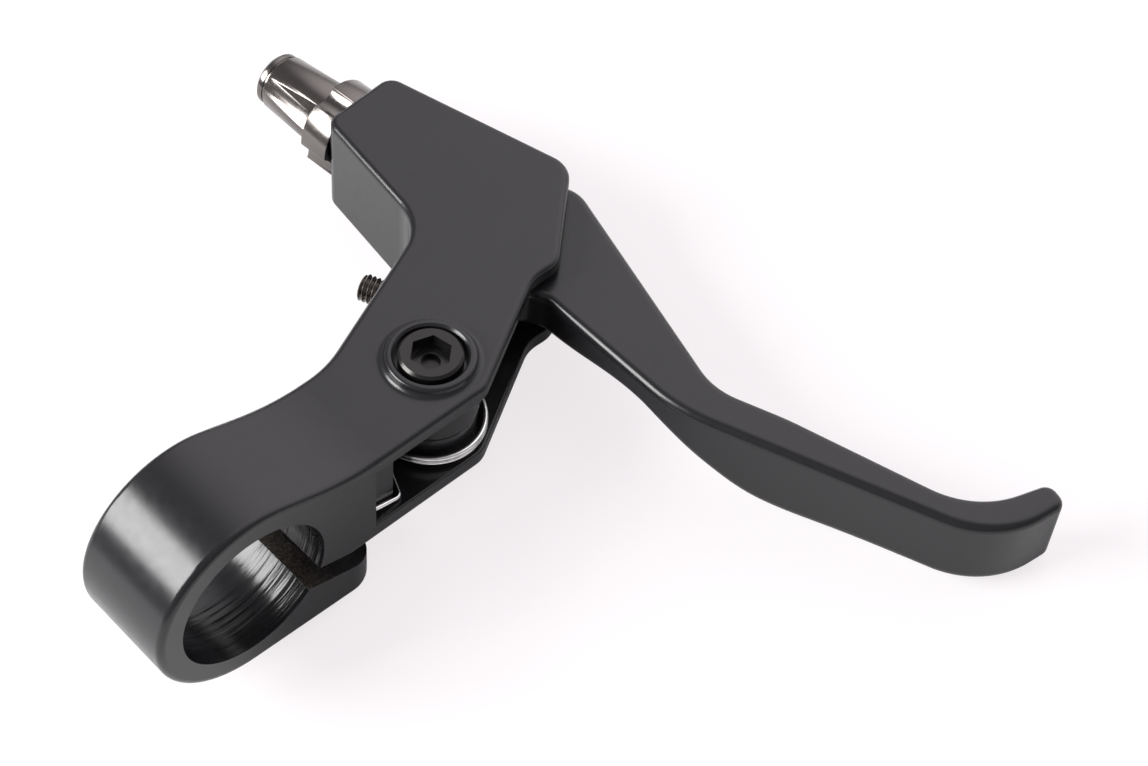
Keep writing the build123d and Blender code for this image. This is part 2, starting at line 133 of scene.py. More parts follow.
class NodeGraph:
    """Node tree of a material or a sky, with short ways to add and join nodes."""

    def __init__(self, owner: bpy.types.Material | bpy.types.World, output: str) -> None:
        """Empty the owner's node tree and add an output node of that kind."""
        owner.use_nodes = True
        self.tree = owner.node_tree
        self.tree.nodes.clear()
        self.output = self.add(output)

    def add(
        self,
        kind: str,
        inputs: dict[str | int, Any] | None = None,
        **settings: Any,
    ) -> bpy.types.Node:
        """Add a node.

        Args:
            kind: Blender's type name of the node.
            inputs: Sockets by name or index, each given a value or another node's output.
            settings: Properties of the node itself.

        Returns:
            The new node.
        """
        node = self.tree.nodes.new(kind)
        for key, value in settings.items():
            setattr(node, key, value)
        for key, value in (inputs or {}).items():
            if isinstance(value, bpy.types.NodeSocket):
                self.tree.links.new(value, node.inputs[key])
            else:
                node.inputs[key].default_value = value
        return node

    def place(self, space: str = "Object") -> bpy.types.NodeSocket:
        """Return a socket of coordinates, by default the piece's own."""
        return self.add("ShaderNodeTexCoord").outputs[space]

    def noise(
        self, vector: bpy.types.NodeSocket, scale: float, detail: float = 3.0
    ) -> bpy.types.NodeSocket:
        """Return a noise value from 0 to 1.

        Args:
            vector: Coordinates to read.
            scale: Features per metre of those coordinates.
            detail: Octaves of finer noise.

        Returns:
            The value's socket.
        """
        inputs = {"Vector": vector, "Scale": scale, "Detail": detail}
        return self.add("ShaderNodeTexNoise", inputs).outputs[0]

    def spread(
        self, value: bpy.types.NodeSocket, low: float, high: float
    ) -> bpy.types.NodeSocket:
        """Return a noise value, from its usual ends, mapped to a range.

        Args:
            value: Socket with the noise value.
            low: Result at the lower end and below.
            high: Result at the upper end and above.

        Returns:
            The mapped value's socket.
        """
        inputs = {"Value": value, 1: NOISE_ENDS[0], 2: NOISE_ENDS[1], 3: low, 4: high}
        return self.add("ShaderNodeMapRange", inputs).outputs[0]

    def ramp(
        self, value: bpy.types.NodeSocket, ends: tuple[float, float], levels: tuple[float, float]
    ) -> bpy.types.NodeSocket:
        """Return a value mapped to a soft ramp between two levels.

        Args:
            value: Socket with the value.
            ends: Values at which the ramp starts and ends.
            levels: Results at those ends.

        Returns:
            The mapped value's socket.
        """
        inputs = {"Value": value, 1: ends[0], 2: ends[1], 3: levels[0], 4: levels[1]}
        return self.add("ShaderNodeMapRange", inputs, interpolation_type="SMOOTHSTEP").outputs[0]

    def math(self, operation: str, *values: Any) -> bpy.types.NodeSocket:
        """Return the result of a Math node.

        Args:
            operation: Name of the operation.
            values: Its numbers or sockets, in order.

        Returns:
            The result's socket.
        """
        inputs = dict(enumerate(values))
        return self.add("ShaderNodeMath", inputs, operation=operation).outputs[0]

    def mix(
        self, factor: Any, first: Any, second: Any, kind: str = "RGBA"
    ) -> bpy.types.NodeSocket:
        """Return a mix of two colours or two numbers.

        Args:
            factor: Share of the second, as a number or socket.
            first: Colour or number at 0.
            second: Colour or number at 1.
            kind: RGBA for colours, FLOAT for numbers.

        Returns:
            The mixed value's socket.
        """
        node = self.add("ShaderNodeMix", data_type=kind)
        names = {"RGBA": (0, 6, 7, 2), "FLOAT": (0, 2, 3, 0)}[kind]
        for index, value in zip(names, (factor, first, second)):
            if isinstance(value, bpy.types.NodeSocket):
                self.tree.links.new(value, node.inputs[index])
            else:
                node.inputs[index].default_value = value
        return node.outputs[names[3]]

    def finish(self, shader: bpy.types.Node) -> None:
        """Join a shader to the output."""
        self.tree.links.new(shader.outputs[0], self.output.inputs["Surface"])


def opaque(colour: Colour, share: float = 1.0) -> tuple[float, float, float, float]:
    """Return a colour times a share, with full alpha."""
    return (colour[0] * share, colour[1] * share, colour[2] * share, 1.0)


@dataclass(frozen=True)
class Finish:
    """Surface of one kind of piece, with mottling in colour and gloss and a fine grain."""

    name: str
    slot: Slot
    colour: Colour
    metallic: float
    roughness: float
    specular: float = 0.5
    mottle_scale: float = 140.0
    mottle_share: float = 0.12
    gloss_share: float = 0.12
    gloss_finer: float = 6.0
    grain_scale: float = 5200.0
    grain_depth: float = 4.0e-6
    grain_strength: float = 0.5

    def height(self, graph: NodeGraph, place: bpy.types.NodeSocket) -> bpy.types.NodeSocket:
        """Return the height of the surface grain.

        Args:
            graph: Graph of the material.
            place: Socket of the piece's own coordinates.

        Returns:
            Socket of a height from 0 to 1.
        """
        return graph.noise(place, self.grain_scale, detail=2.0)

    def gloss(self, graph: NodeGraph, place: bpy.types.NodeSocket) -> bpy.types.NodeSocket:
        """Return the roughness, which varies a little over the surface.

        Args:
            graph: Graph of the material.
            place: Socket of the piece's own coordinates.

        Returns:
            Socket of the roughness.
        """
        return graph.spread(
            graph.noise(place, self.mottle_scale * self.gloss_finer),
            self.roughness * (1 - self.gloss_share),
            self.roughness * (1 + self.gloss_share),
        )

    def shade(self, graph: NodeGraph, place: bpy.types.NodeSocket) -> bpy.types.NodeSocket:
        """Return the mottled colour.

        Args:
            graph: Graph of the material.
            place: Socket of the piece's own coordinates.

        Returns:
            Socket of the colour.
        """
        return graph.mix(
            graph.spread(graph.noise(place, self.mottle_scale), 0.0, 1.0),
            opaque(self.colour, 1 - self.mottle_share),
            opaque(self.colour, 1 + self.mottle_share),
        )

    def material(self) -> bpy.types.Material:
        """Build the material and return it."""
        material = bpy.data.materials.new(self.name)
        graph = NodeGraph(material, "ShaderNodeOutputMaterial")
        place = graph.place()
        bump = graph.add(
            "ShaderNodeBump",
            {
                "Strength": self.grain_strength,
                "Distance": self.grain_depth,
                "Height": self.height(graph, place),
            },
        )
        shader = graph.add(
            "ShaderNodeBsdfPrincipled",
            {
                "Base Color": self.shade(graph, place),
                "Metallic": self.metallic,
                "Roughness": self.gloss(graph, place),
                "Specular IOR Level": self.specular,
                "Normal": bump.outputs[0],
            },
        )
        graph.finish(shader)
        return material


@dataclass(frozen=True)
class RidgedBoreFinish(Finish):
    """Anodised finish with ridges of rough turning in the bar bore and a sawn split, whose faces
    are painted lighter and browner as painted light in that dark gap.
    """

    bore_radius: float = 0.01125
    bore_roughness: float = 0.2
    ridge_scale: float = 1100.0
    ridge_stretch: float = 0.06
    ridge_share: float = 70.0
    split_normal: Place = (0.0, 0.27564, 0.96126)
    split_middle: float = -0.0028525
    split_half: float = 0.0018
    split_ends: tuple[float, float] = (0.0075, 0.0145)
    # painted light: a lighter brown than the black anodising on the split faces, standing in for
    # light that barely reaches into the gap, together with their sawn grain
    split_grain_and_painted_light_colour: Colour = (0.08, 0.064, 0.05)
    split_grain: float = 90.0

    def inside(self, graph: NodeGraph, place: bpy.types.NodeSocket) -> bpy.types.NodeSocket:
        """Return a socket that is 1 inside the bore.

        Args:
            graph: Graph of the material.
            place: Socket of the piece's own coordinates.

        Returns:
            Socket of 0 or 1.
        """
        parts = graph.add("ShaderNodeSeparateXYZ", {0: place})
        across = graph.math("POWER", parts.outputs["Y"], 2.0)
        upward = graph.math("POWER", parts.outputs["Z"], 2.0)
        radius = graph.math("SQRT", graph.math("ADD", across, upward))
        return graph.math("LESS_THAN", radius, self.bore_radius)

    def sawn(self, graph: NodeGraph, place: bpy.types.NodeSocket) -> bpy.types.NodeSocket:
        """Return a socket that is 1 on the faces of the split, where painted light and coarse
        grain go, and fades towards its mouth.

        Args:
            graph: Graph of the material.
            place: Socket of the piece's own coordinates.

        Returns:
            Socket of a share from 0 to 1.
        """
        inputs = {0: place, 1: self.split_normal}
        height = graph.add("ShaderNodeVectorMath", inputs, operation="DOT_PRODUCT")
        level = height.outputs["Value"]
        between = graph.math("COMPARE", level, self.split_middle, self.split_half)
        ahead = graph.add("ShaderNodeSeparateXYZ", {0: place}).outputs["Y"]
        beyond = graph.math("GREATER_THAN", ahead, self.split_ends[0])
        deep = graph.math("MULTIPLY", beyond, graph.ramp(ahead, self.split_ends, (1.0, 0.0)))
        return graph.math("MULTIPLY", between, deep)

    def shade(self, graph: NodeGraph, place: bpy.types.NodeSocket) -> bpy.types.NodeSocket:
        """Return the mottled colour, browner and lighter on the faces of the split: partly sawn
        grain, partly painted light standing in for light that barely reaches into the gap.

        Args:
            graph: Graph of the material.
            place: Socket of the piece's own coordinates.

        Returns:
            Socket of the colour.
        """
        outer = super().shade(graph, place)
        specks = graph.spread(graph.noise(place, self.grain_scale / 2), 0.0, 1.0)
        share = graph.math("MULTIPLY", self.sawn(graph, place), specks)
        # painted light on the split faces, mixed in by the split mask and speckled by noise
        return graph.mix(share, outer, opaque(self.split_grain_and_painted_light_colour))

    def gloss(self, graph: NodeGraph, place: bpy.types.NodeSocket) -> bpy.types.NodeSocket:
        """Return the roughness, lower inside the bore.

        Args:
            graph: Graph of the material.
            place: Socket of the piece's own coordinates.

        Returns:
            Socket of the roughness.
        """
        outer = super().gloss(graph, place)
        return graph.mix(self.inside(graph, place), outer, self.bore_roughness, "FLOAT")

    def height(self, graph: NodeGraph, place: bpy.types.NodeSocket) -> bpy.types.NodeSocket:
        """Return the grain's height, with ridges inside the bore and coarse grain in the split.

        Args:
            graph: Graph of the material.
            place: Socket of the piece's own coordinates.

        Returns:
            Socket of the height.
        """
        grain = super().height(graph, place)
        scale = (1.0, self.ridge_stretch, self.ridge_stretch)
        stretch = graph.add("ShaderNodeMapping", {"Vector": place, "Scale": scale})
        ridges = graph.noise(stretch.outputs[0], self.ridge_scale, detail=2.0)
        raised = graph.math("MULTIPLY", ridges, self.ridge_share)
        turned = graph.math("MULTIPLY", raised, self.inside(graph, place))
        coarse = graph.noise(place, self.grain_scale / 2)
        rough = graph.math("MULTIPLY", coarse, self.split_grain)
        sawn = graph.math("MULTIPLY", rough, self.sawn(graph, place))
        return graph.math("ADD", grain, graph.math("ADD", turned, sawn))


@dataclass(frozen=True)
class TurnedFinish(Finish):
    """Plated finish over fine lines turned round an axis in the plane of the bar."""

    axis_turn: float = 0.0
    line_scale: float = 2600.0
    line_stretch: float = 0.05

    def height(self, graph: NodeGraph, place: bpy.types.NodeSocket) -> bpy.types.NodeSocket:
        """Return the height of the turned lines.

        Args:
            graph: Graph of the material.
            place: Socket of the piece's own coordinates.

        Returns:
            Socket of a height from 0 to 1.
        """
        turn = (0, 0, -self.axis_turn)
        turned = graph.add("ShaderNodeMapping", {"Vector": place, "Rotation": turn})
        scale = (1.0, self.line_stretch, self.line_stretch)
        stretch = graph.add("ShaderNodeMapping", {"Vector": turned.outputs[0], "Scale": scale})
        return graph.noise(stretch.outputs[0], self.line_scale)


class Workpiece:
    """One mesh shaped by hand operators, in a local frame until it is placed."""

    def __init__(self, name: str) -> None:
        """Take up the primitive that was just added, under that name."""
        self.obj = bpy.context.active_object
        self.obj.name = name
        self.obj.data.name = name

    @classmethod
    def circle(
        cls, name: str, radius: float, sides: int, centre: Place, turn: Place = (0, 0, 0)
    ) -> "Workpiece":
        """Add an open circle with its place in its mesh.

        Args:
            name: Name of the piece.
            radius: Radius of the circle.
            sides: Number of its edges.
            centre: Its centre.
            turn: Its rotation about X, Y and Z.

        Returns:
            The new workpiece.
        """
        bpy.ops.object.select_all(action="DESELECT")
        bpy.ops.mesh.primitive_circle_add(
            vertices=sides, radius=radius, fill_type="NOTHING", location=centre, rotation=turn
        )
        piece = cls(name)
        piece.settle()
        return piece

    @classmethod
    def cylinder(
        cls, name: str, radius: float, sides: int, bottom: float, top: float, turn: float = 0.0
    ) -> "Workpiece":
        """Add a cylinder along local Z with its place in its mesh.

        Args:
            name: Name of the piece.
            radius: Radius of its corners.
            sides: Number of its sides.
            bottom: Height of its lower end.
            top: Height of its upper end.
            turn: Its rotation about Z.

        Returns:
            The new workpiece.
        """
        bpy.ops.object.select_all(action="DESELECT")
        bpy.ops.mesh.primitive_cylinder_add(
            vertices=sides,
            radius=radius,
            depth=top - bottom,
            location=(0, 0, (top + bottom) / 2),
            rotation=(0, 0, turn),
        )
        piece = cls(name)
        piece.settle()
        return piece

    def grip(self) -> None:
        """Make this the only selected object, in object mode."""
        if bpy.context.object and bpy.context.object.mode != "OBJECT":
            bpy.ops.object.mode_set(mode="OBJECT")
        bpy.ops.object.select_all(action="DESELECT")
        self.obj.select_set(True)
        bpy.context.view_layer.objects.active = self.obj

    def settle(self, place: Matrix | None = None) -> None:
        """Move the piece by a matrix, if given, and put its place into its mesh."""
        self.grip()
        if place is not None:
            self.obj.matrix_world = place @ self.obj.matrix_world
        bpy.ops.object.transform_apply(location=True, rotation=True, scale=True)

    def pick(self, test: Callable[[Vector], bool]) -> None:
        """Go into edit mode with only the vertices selected whose place passes a test."""
        self.grip()
        bpy.ops.object.mode_set(mode="EDIT")
        bpy.ops.mesh.select_mode(type="VERT")
        bpy.ops.mesh.select_all(action="DESELECT")
        mesh = bmesh.from_edit_mesh(self.obj.data)
        for vertex in mesh.verts:
            vertex.select = test(vertex.co)
        mesh.select_flush_mode()
        bmesh.update_edit_mesh(self.obj.data)

    def leave(self) -> None:
        """Go back to object mode."""
        bpy.ops.object.mode_set(mode="OBJECT")

    def extrude(self, shift: Vector | Place) -> None:
        """Extrude what is selected and move it."""
        bpy.ops.mesh.extrude_region_move(TRANSFORM_OT_translate={"value": tuple(shift)})

    def resize(self, factor: float, centre: Place) -> None:
        """Scale what is selected about a centre, across local Z only."""
        bpy.ops.transform.resize(value=(factor, factor, 1.0), center_override=centre)

    def close(self) -> None:
        """Merge doubles, fill open ends and turn the faces outwards, then leave edit mode."""
        self.pick(lambda co: True)
        bpy.ops.mesh.remove_doubles(threshold=WELD_DISTANCE)
        bpy.ops.mesh.select_all(action="SELECT")
        bpy.ops.mesh.fill_holes(sides=0)
        bpy.ops.mesh.select_all(action="SELECT")
        bpy.ops.mesh.normals_make_consistent(inside=False)
        self.leave()

    def apply(self, modifier: bpy.types.Modifier) -> None:
        """Apply a modifier of this piece."""
        self.grip()
        bpy.ops.object.modifier_apply(modifier=modifier.name)

    def cut(self, tool: "Workpiece", keep: Cut = Cut.AWAY) -> None:
        """Cut the piece with another one, which is used up."""
        modifier = self.obj.modifiers.new("cut", "BOOLEAN")
        modifier.operation = keep.value
        modifier.object = tool.obj
        modifier.solver = "EXACT"
        self.apply(modifier)
        bpy.data.objects.remove(tool.obj)

    def round_edges(self, width: float, segments: int = 2, angle: float = 40.0) -> None:
        """Bevel the edges that are sharper than an angle in degrees."""
        modifier = self.obj.modifiers.new("round", "BEVEL")
        modifier.width = width
        modifier.segments = segments
        modifier.limit_method = "ANGLE"
        modifier.angle_limit = math.radians(angle)
        modifier.harden_normals = False
        self.apply(modifier)

    def join(self, other: "Workpiece") -> None:
        """Take another workpiece into this mesh."""
        self.grip()
        other.obj.select_set(True)
        bpy.ops.object.join()

    def smooth(self) -> None:
        """Shade the piece smooth, with edges kept sharp by their angle."""
        self.grip()
        bpy.ops.object.shade_smooth_by_angle(angle=SMOOTH_ANGLE)

    def dress(self, finish: Finish) -> None:
        """Give the piece its material."""
        dress(self.obj, finish)


def dress(obj: bpy.types.Object, finish: Finish) -> None:
    """Give an object one material, built once per finish."""
    material = bpy.data.materials.get(finish.name) or finish.material()
    obj.data.materials.clear()
    obj.data.materials.append(material)


def local_frame(origin: Place, along: Place, side: Place) -> Matrix:
    """Return the matrix of a frame with Z along one direction and X near another.

    Args:
        origin: Origin of the frame.
        along: Direction of its Z axis.
        side: Direction that its X axis leans to.

    Returns:
        The four by four matrix.
    """
    z = Vector(along).normalized()
    y = z.cross(Vector(side)).normalized()
    x = y.cross(z)
    turn = Matrix((x, y, z)).transposed().to_4x4()
    return Matrix.Translation(Vector(origin)) @ turn


def joint(name: str) -> dict[str, Any]:
    """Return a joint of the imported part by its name."""
    return next(j for j in frame["joints"] if j["name"] == name)


@dataclass(frozen=True)
class Thread:
    """Screw thread, modelled as a rod along local Z."""

    crest: float
    pitch: float
    sides: int = 40
    depth_share: float = 0.61
    flat_share: float = 0.1
    blank_share: float = 1.01

    def rod(self, name: str, bottom: float, top: float, lead: float) -> Workpiece:
        """Model a threaded rod with coned ends.

        Args:
            name: Name of the piece.
            bottom: Height of its lower end.
            top: Height of its upper end.
            lead: Length of each end cone.

        Returns:
            The closed workpiece.
        """
        depth = self.pitch * self.depth_share
        turns = math.ceil((top - bottom) / self.pitch) + 2
        middle = self.crest - depth / 2
        start = bottom - self.pitch
        piece = Workpiece.circle(
            name,
            self.pitch / math.sqrt(3),
            3,
            (middle, 0, start),
            (math.radians(90), math.radians(90), 0),
        )
        tip = max(v.co.x for v in piece.obj.data.vertices)
        base = min(v.co.x for v in piece.obj.data.vertices)
        piece.pick(lambda co: co.x < (tip + base) / 2)
        bpy.ops.mesh.delete(type="EDGE_FACE")
        piece.pick(lambda co: True)
        bpy.ops.transform.resize(
            value=(depth / (tip - base), 1, 1), center_override=(tip, 0, start)
        )
        bpy.ops.transform.translate(value=(self.crest - tip, 0, 0))
        piece.pick(lambda co: co.x > self.crest - depth / 4)
        bpy.ops.mesh.bevel(offset=self.pitch * self.flat_share, affect="VERTICES")
        piece.leave()
        screw = piece.obj.modifiers.new("thread", "SCREW")
        screw.axis = "Z"
        screw.angle = math.tau
        screw.screw_offset = self.pitch
        screw.iterations = turns
        screw.steps = self.sides
        screw.render_steps = self.sides
        piece.apply(screw)
        piece.close()
        piece.cut(self.blank(bottom, top, lead), Cut.SHARED)
        return piece

    def blank(self, bottom: float, top: float, lead: float) -> Workpiece:
        """Model the plain rod with coned ends that a thread is trimmed to.

        Args:
            bottom: Height of its lower end.
            top: Height of its upper end.
            lead: Length of each end cone.

        Returns:
            The closed workpiece.
        """
        body = self.crest * self.blank_share
        small = self.crest - self.pitch * self.depth_share
        rod = Workpiece.circle("blank", small, self.sides, (0, 0, bottom))
        rod.pick(lambda co: True)
        rod.extrude((0, 0, lead))
        rod.resize(body / small, (0, 0, bottom + lead))
        rod.extrude((0, 0, top - bottom - 2 * lead))
        rod.extrude((0, 0, lead))
        rod.resize(small / body, (0, 0, top))
        rod.close()
        return rod


@dataclass
class CadPieces:
    """CAD solids that are shown as they are, each with its finish."""

    anodised: RidgedBoreFinish
    steel: Finish
    screw: Finish
    polymer: Finish
    wire: Finish
    plating: TurnedFinish

    def dress(self) -> None:
        """Give every CAD node a finish, also those that a modelled piece replaces."""
        wear = {
            "perch_body": self.anodised,
            "lever_blade": self.anodised,
            "pivot_bolt": self.steel,
            "pivot_nut": self.steel,
            "pivot_sleeve": self.steel,
            "clamp_bolt": self.steel,
            "reach_screw": self.screw,
            "upper_bush": self.polymer,
            "lower_bush": self.polymer,
            "return_spring": self.wire,
            "barrel_adjuster": self.plating,
            "barrel_lock_ring": self.plating,
        }
        for name, finish in wear.items():
            dress(frame["nodes"][name], finish)
            LOG.info("dressed CAD node %s with %s", name, finish.name)


@dataclass
class BarrelAdjuster:
    """Cable barrel with its threaded stem, and the lock ring on the thread."""

    finish: Finish
    thread: Thread = Thread(crest=0.005, pitch=0.001, sides=64)
    stem: float = 0.015
    seat: float = 0.0049
    cone_base: float = 0.00492
    cone_tip: float = 0.00422
    cone_length: float = 0.0102
    rim_radius: float = 0.00405
    rim_length: float = 0.0018
    rim_neck: float = 0.0039
    rim_groove: float = 0.00045
    rim_round: float = 0.0005
    edge_break: float = 0.00008
    break_angle: float = 28.0
    socket_radius: float = 0.0026
    socket_depth: float = 0.009
    flutes: int = 2
    flute_radius: float = 0.008
    flute_depth: float = 0.0002
    flute_turn: float = math.radians(32)
    ring_radius: float = 0.0066
    ring_bottom: float = 0.0001
    ring_length: float = 0.0047
    ring_edge: float = 0.0003
    ring_bore: float = 0.00505
    scallops: int = 4
    scallop_radius: float = 0.0025
    scallop_depth: float = 0.00104
    scallop_turn: float = math.radians(73)
    sides: int = 96
    ring_sides: int = 128
    cutter_sides: int = 48

    def place(self) -> Matrix:
        """Return the frame at the boss's end face, with Z outward and Y up."""
        spin = joint("ring_spin")
        along = Vector(spin["axis"])
        return local_frame(spin["pos_m"], along, UP.cross(along))

    def cutter(
        self, radius: float, reach: float, turn: float, bottom: float, top: float
    ) -> Workpiece:
        """Model a round cutter parallel to the axis.

        Args:
            radius: Radius of the cutter.
            reach: Its distance from the axis.
            turn: Its angle round the axis.
            bottom: Height of its lower end.
            top: Height of its upper end.

        Returns:
            The cutter.
        """
        tool = Workpiece.cylinder("cutter", radius, self.cutter_sides, bottom, top)
        tool.settle(Matrix.Translation((reach * math.cos(turn), reach * math.sin(turn), 0)))
        return tool

    def barrel(self) -> Workpiece:
        """Model the fluted cone with its rim, socket and threaded stem."""
        cone_end = self.seat + self.cone_length
        end = cone_end + self.rim_length
        body = Workpiece.circle(
            "barrel_adjuster_body", self.cone_base, self.sides, (0, 0, self.seat)
        )
        body.pick(lambda co: True)
        body.extrude((0, 0, self.cone_length))
        body.resize(self.cone_tip / self.cone_base, (0, 0, cone_end))
        body.extrude((0, 0, 0))
        body.resize(self.rim_neck / self.cone_tip, (0, 0, cone_end))
        body.extrude((0, 0, self.rim_groove))
        body.extrude((0, 0, 0))
        body.resize(self.rim_radius / self.rim_neck, (0, 0, cone_end + self.rim_groove))
        body.extrude((0, 0, self.rim_length - self.rim_groove - self.rim_round))
        body.extrude((0, 0, self.rim_round))
        body.resize(1 - self.rim_round / self.rim_radius, (0, 0, end))
        body.extrude((0, 0, 0))
        body.resize(self.socket_radius / (self.rim_radius - self.rim_round), (0, 0, end))
        body.extrude((0, 0, -self.socket_depth))
        body.close()
        reach = self.cone_tip - self.flute_depth + self.flute_radius
        foot = self.seat - self.rim_round
        for index in range(self.flutes):
            turn = self.flute_turn + math.tau * index / self.flutes
            body.cut(self.cutter(self.flute_radius, reach, turn, foot, cone_end))
        body.round_edges(self.edge_break, angle=self.break_angle)
        stem = self.thread.rod("barrel_stem", -self.stem, self.seat, self.rim_round)
        body.join(stem)
        body.settle(self.place())
        body.smooth()
        body.dress(self.finish)
        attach(body.obj, Body.BARREL.value)
        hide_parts("barrel_adjuster")
        return body

    def lock_ring(self) -> Workpiece:
        """Model the scalloped ring."""
        top = self.ring_bottom + self.ring_length
        ring = Workpiece.cylinder(
            "barrel_lock_ring_body", self.ring_radius, self.ring_sides, self.ring_bottom, top
        )
        reach = self.ring_radius - self.scallop_depth + self.scallop_radius
        margin = self.ring_length / 4
        low, high = self.ring_bottom - margin, top + margin
        for index in range(self.scallops):
            turn = self.scallop_turn + math.tau * index / self.scallops
            ring.cut(self.cutter(self.scallop_radius, reach, turn, low, high))
        ring.cut(Workpiece.cylinder("cutter", self.ring_bore, self.sides, low, high))
        ring.round_edges(self.ring_edge, segments=3)
        ring.settle(self.place())
        ring.smooth()
        ring.dress(self.finish)
        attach(ring.obj, Body.LOCK_RING.value)
        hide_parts("barrel_lock_ring")
        return ring

    def build(self) -> None:
        """Build both pieces and report them."""
        for piece in (self.barrel(), self.lock_ring()):
            LOG.info("built %s with %d faces", piece.obj.name, len(piece.obj.data.polygons))


@dataclass
class ReachScrew:
    """Headless screw through the back wall, with a hexagon socket."""

    finish: Finish
    thread: Thread = Thread(crest=0.002, pitch=0.0007)
    origin: Place = (-0.015718, 0.042988, 0.002125)
    proud: float = 0.0048
    inside: float = 0.004958
    lead: float = 0.0003
    hex_radius: float = 0.001155
    hex_depth: float = 0.002

    def build(self) -> None:
        """Model the screw and report it."""
        screw = self.thread.rod("reach_screw_body", -self.inside, self.proud, self.lead)
        screw.cut(
            Workpiece.cylinder(
                "cutter", self.hex_radius, 6, self.proud - self.hex_depth, self.proud + self.lead
            )
        )
        screw.settle(local_frame(self.origin, joint("reach_slide")["axis"], UP))
        screw.smooth()
        screw.dress(self.finish)
        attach(screw.obj, Body.REACH_SCREW.value)
        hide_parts("reach_screw")
        LOG.info("built %s with %d faces", screw.obj.name, len(screw.obj.data.polygons))


@dataclass
class ReturnSpring:
    """Wire spring round the pivot: fixed leg and hook, then coils and an arm to the lever."""

    finish: Finish
    wire: float = 0.000375
    radius: float = 0.0074
    turns: float = 2.18
    pitch: float = 0.00077
    base: float = -0.0028015
    start_turn: float = math.radians(-113.39)
    leg_length: float = 0.01047
    hook: Place = (0, -0.0042, 0.001)
    arm_length: float = 0.011
    arm_pin: float = 0.0026
    bend_radius: float = 0.001
    bend_steps: int = 6
    sides: int = 14
    steps: int = 200

    def point(self, share: float) -> Vector:
        """Return the point at a share of the coils."""
        turn = self.start_turn - math.tau * self.turns * share
        pivot = joint("lever_pivot")["pos_m"]
        return Vector(
            (
                pivot[0] + self.radius * math.cos(turn),
                pivot[1] + self.radius * math.sin(turn),
                self.base + self.pitch * self.turns * share,
            )
        )

    def tangent(self, share: float) -> Vector:
        """Return the wire's direction at a share of the coils, rising."""
        turn = self.start_turn - math.tau * self.turns * share
        rise = self.pitch / math.tau
        around = Vector((math.sin(turn), -math.cos(turn), 0)) * self.radius
        return (around + UP * rise).normalized()

    def run(
        self, piece: Workpiece, start: Vector, along: Vector, length: float, end: Vector
    ) -> None:
        """Draw the wire on from its selected end: straight, round a bend and straight again.

        Args:
            piece: Workpiece whose end ring is selected.
            start: Centre of that ring.
            along: Direction of the first run.
            length: Length of the first run, to the corner.
            end: Second run from the corner.
        """
        onward = end.normalized()
        angle = along.angle(onward)
        inset = self.bend_radius * math.tan(angle / 2)
        piece.extrude(along * (length - inset))
        inward = (onward - along * onward.dot(along)).normalized()
        centre = start + along * (length - inset) + inward * self.bend_radius
        axis = onward.cross(along).normalized()
        bpy.ops.mesh.spin(
            steps=self.bend_steps, angle=angle, center=tuple(centre), axis=tuple(axis)
        )
        piece.extrude(onward * (end.length - inset))

    def coils(self) -> Workpiece:
        """Model the coils and the arm whose pin enters the lever."""
        upright = (math.radians(90), 0, 0)
        coil = Workpiece.circle(
            "return_spring_coil", self.wire, self.sides, (self.radius, 0, 0), upright
        )
        screw = coil.obj.modifiers.new("coil", "SCREW")
        screw.axis = "Z"
        screw.angle = -math.tau * self.turns
        screw.screw_offset = self.pitch * self.turns
        screw.steps = self.steps
        screw.render_steps = self.steps
        coil.apply(screw)
        pivot = joint("lever_pivot")["pos_m"]
        coil.settle(
            Matrix.Translation((pivot[0], pivot[1], self.base))
            @ Matrix.Rotation(self.start_turn, 4, "Z")
        )
        end, along = self.point(1), self.tangent(1)

        def last_ring(place: Vector) -> bool:
            """Tell whether a vertex is on the ring that ends the coils."""
            away = place - end
            return abs(away.dot(along)) < self.wire / 8 and away.length < 2 * self.wire

        coil.pick(last_ring)
        self.run(coil, end, along, self.arm_length, UP * self.arm_pin)
        coil.close()
        coil.smooth()
        coil.dress(self.finish)
        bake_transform(coil.obj)
        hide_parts("return_spring")
        return coil

    def fixed_leg(self) -> Workpiece:
        """Model the leg that runs off the coils and hooks into the perch."""
        start, along = self.point(0), -self.tangent(0)
        leg = Workpiece.circle("return_spring_leg", self.wire, self.sides, (0, 0, 0))
        leg.settle(local_frame(start, along, UP))
        leg.pick(lambda co: True)
        self.run(leg, start, along, self.leg_length, Vector(self.hook))
        leg.close()
        leg.smooth()
        leg.dress(self.finish)
        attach(leg.obj, Body.PERCH.value)
        return leg

    def build(self) -> None:
        """Build both runs of wire and report them."""
        for piece in (self.coils(), self.fixed_leg()):
            LOG.info("built %s with %d faces", piece.obj.name, len(piece.obj.data.polygons))


@dataclass(frozen=True)
class SoftLight:
    """Square lamp that shines on the part from a direction."""

    name: str
    direction: Place
    distance: float
    width: float
    power: float

    def build(self, target: Vector) -> None:
        """Add the lamp, turned to a target."""
        away = Vector(self.direction).normalized()
        bpy.ops.object.light_add(type="AREA", location=tuple(target + away * self.distance))
        lamp = bpy.context.active_object
        lamp.name = self.name
        lamp.rotation_euler = away.to_track_quat("Z", "Y").to_euler()
        lamp.data.size = self.width
        lamp.data.energy = self.power
        LOG.info("added lamp %s", self.name)


